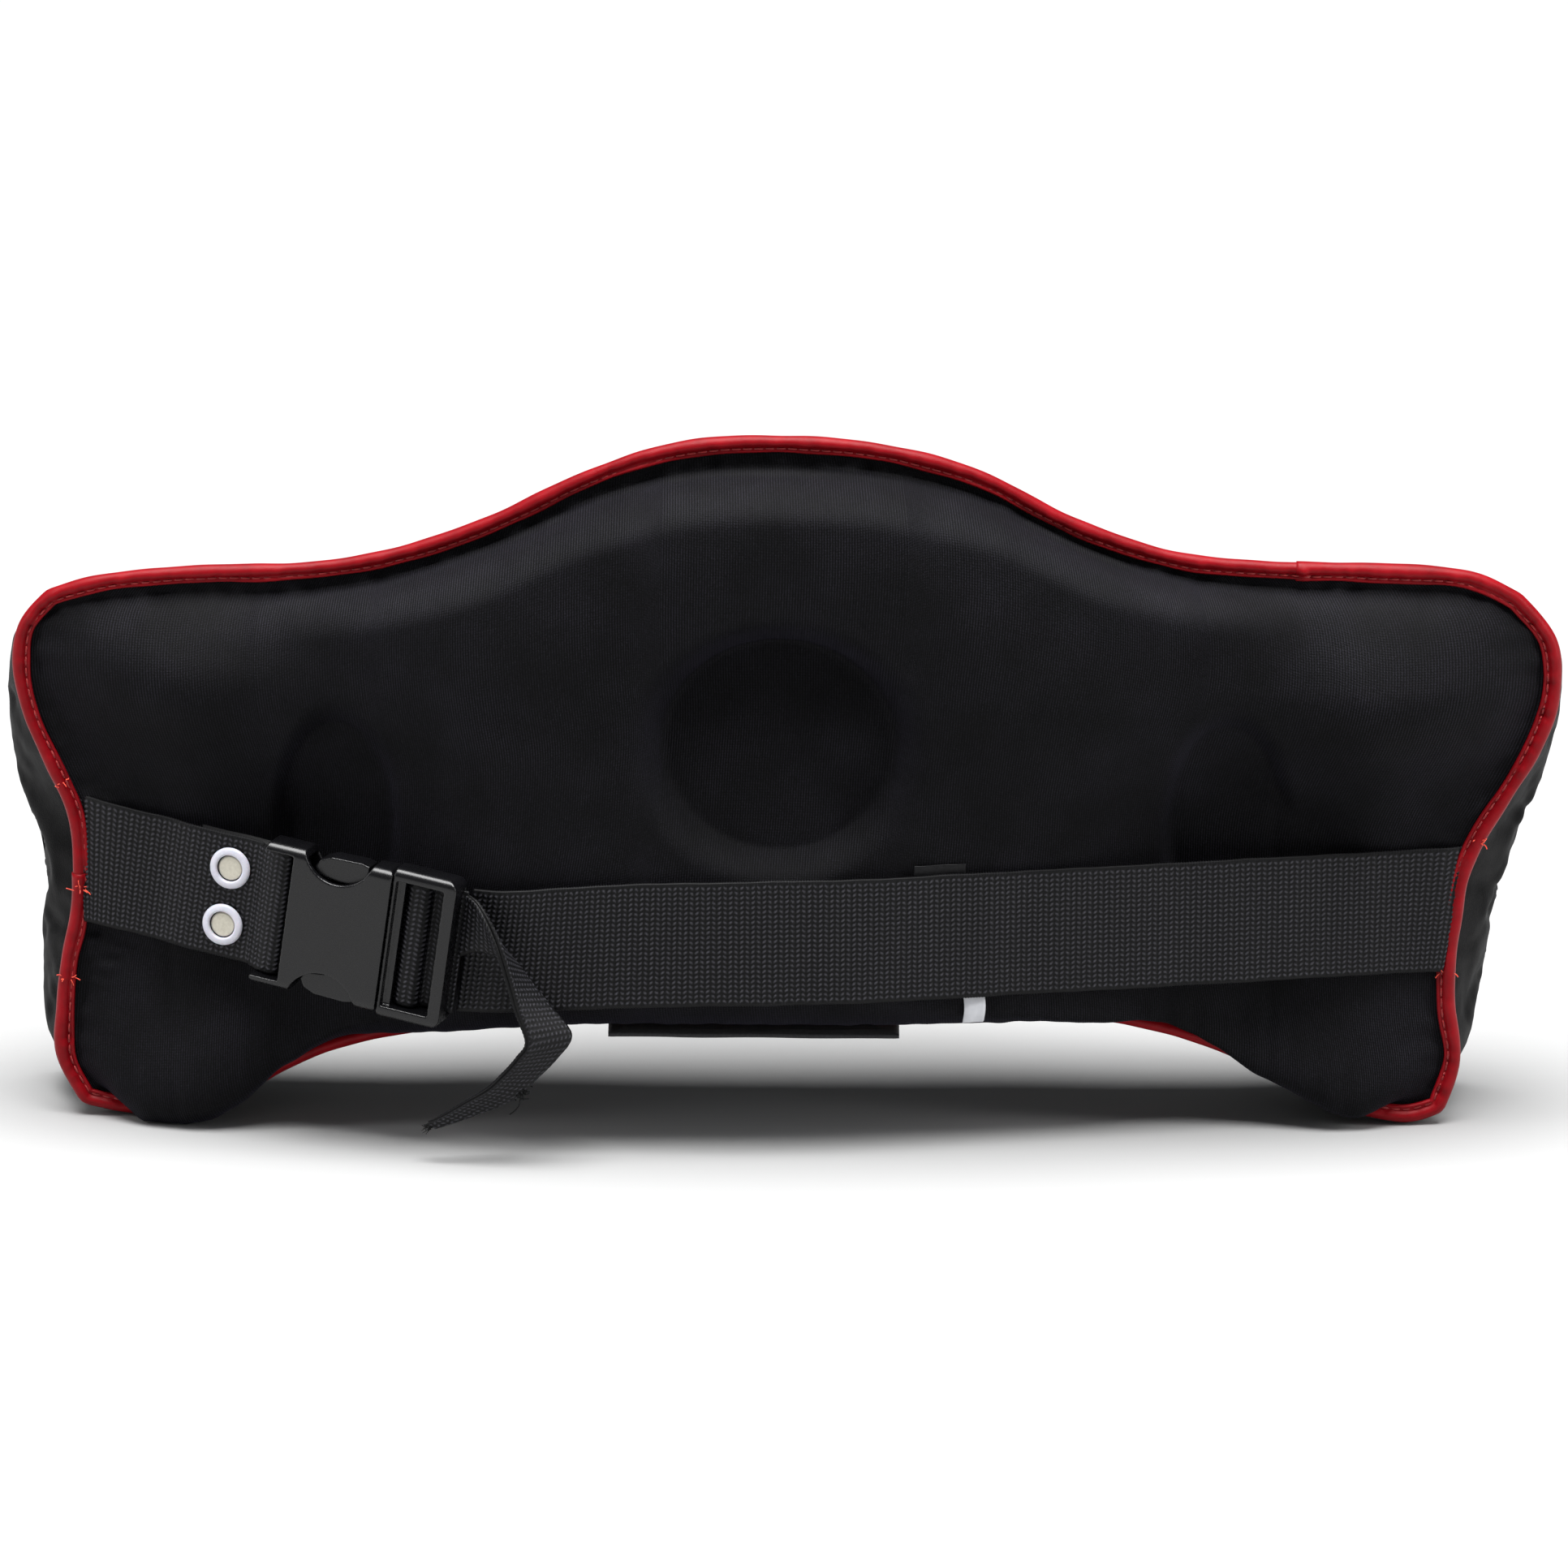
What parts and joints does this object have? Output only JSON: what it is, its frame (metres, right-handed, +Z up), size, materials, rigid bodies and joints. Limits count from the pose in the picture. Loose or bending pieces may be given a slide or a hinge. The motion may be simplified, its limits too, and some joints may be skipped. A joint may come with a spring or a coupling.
{
  "type": "lumbar support cushion",
  "caption": "Wide lumbar cushion with a moulded recessed back, leatherette front, bound rim and a webbing strap with a side-release buckle.",
  "frame": {"origin": "centre of the overall box at its bottom, on the surface that the two wings stand on", "axes": "+X to the right seen from the rear, +Y towards the user's back, -Y to the strap and buckle side, +Z up"},
  "size_m": [0.4585, 0.1175, 0.2121],
  "materials": {
    "core_foam": "open-cell polyurethane foam, pale yellow",
    "soft_foam": "soft polyurethane foam, off-white",
    "back_knit": "fine ribbed polyester knit laminated to moulded foam, black with a blue-grey sheen",
    "leatherette": "black leatherette with a fine grain, soft gloss",
    "red_binding": "red leatherette binding tape, satin, folded over the rim and stitched",
    "webbing": "black woven polyester webbing, coarse weave with plain selvedges",
    "flap_cloth": "black polyester cloth, hemmed",
    "loop_pile": "black brushed loop tape",
    "hook_plastic": "black moulded hook tape",
    "label_white": "white satin label, unprinted",
    "label_black": "black satin label, unprinted",
    "ring_plastic": "lavender-white moulded plastic",
    "rivet_metal": "nickel plate, dull on the cap",
    "buckle_plastic": "black acetal, finely grained, satin"
  },
  "bodies": {
    "cushion": {"foam_core": "core_foam", "comfort_layer": "soft_foam", "back_panel": "back_knit", "front_panel": "leatherette", "front_wing_left": "leatherette", "front_wing_right": "leatherette", "boxing_top": "leatherette", "boxing_bottom": "leatherette", "boxing_left": "leatherette", "boxing_right": "leatherette", "binding_upper": "red_binding", "binding_lower": "red_binding", "hook_tape": "hook_plastic", "care_label": "label_white", "blank_tag": "label_black", "strap_left": "webbing", "strap_right": "webbing", "rivet_rings": "ring_plastic", "rivet_caps": "rivet_metal", "rivet_backs": "rivet_metal", "buckle_socket": "buckle_plastic"},
    "flap": {"closing_flap": "flap_cloth", "loop_tape": "loop_pile"},
    "insert": {"buckle_insert": "buckle_plastic", "strap_loop": "webbing", "strap_tail": "webbing"},
    "upper_prong": {"prong_upper": "buckle_plastic"},
    "lower_prong": {"prong_lower": "buckle_plastic"}
  },
  "joints": [
    {"name": "insert_slide", "type": "slide", "parent": "cushion", "child": "insert", "axis": [0.9363, -0.3224, -0.1392], "range_m": [0, 0.028], "deforming": ["strap_right", "prong_upper", "prong_lower"]},
    {"name": "upper_prong_flex", "type": "hinge", "parent": "insert", "child": "upper_prong", "pos_m": [-0.11165, -0.04026, 0.07684], "axis": [-0.3256, -0.9455, 0], "range_deg": [0, 10], "stiffness_Nm_per_rad": 0.6},
    {"name": "lower_prong_flex", "type": "hinge", "parent": "insert", "child": "lower_prong", "pos_m": [-0.11481, -0.03917, 0.05307], "axis": [0.3256, 0.9455, 0], "range_deg": [0, 10], "stiffness_Nm_per_rad": 0.6},
    {"name": "flap_hinge", "type": "hinge", "parent": "cushion", "child": "flap", "pos_m": [-0.008, 0.0045, 0.0314], "axis": [1, 0, 0], "range_deg": [0, 85]}
  ]
}
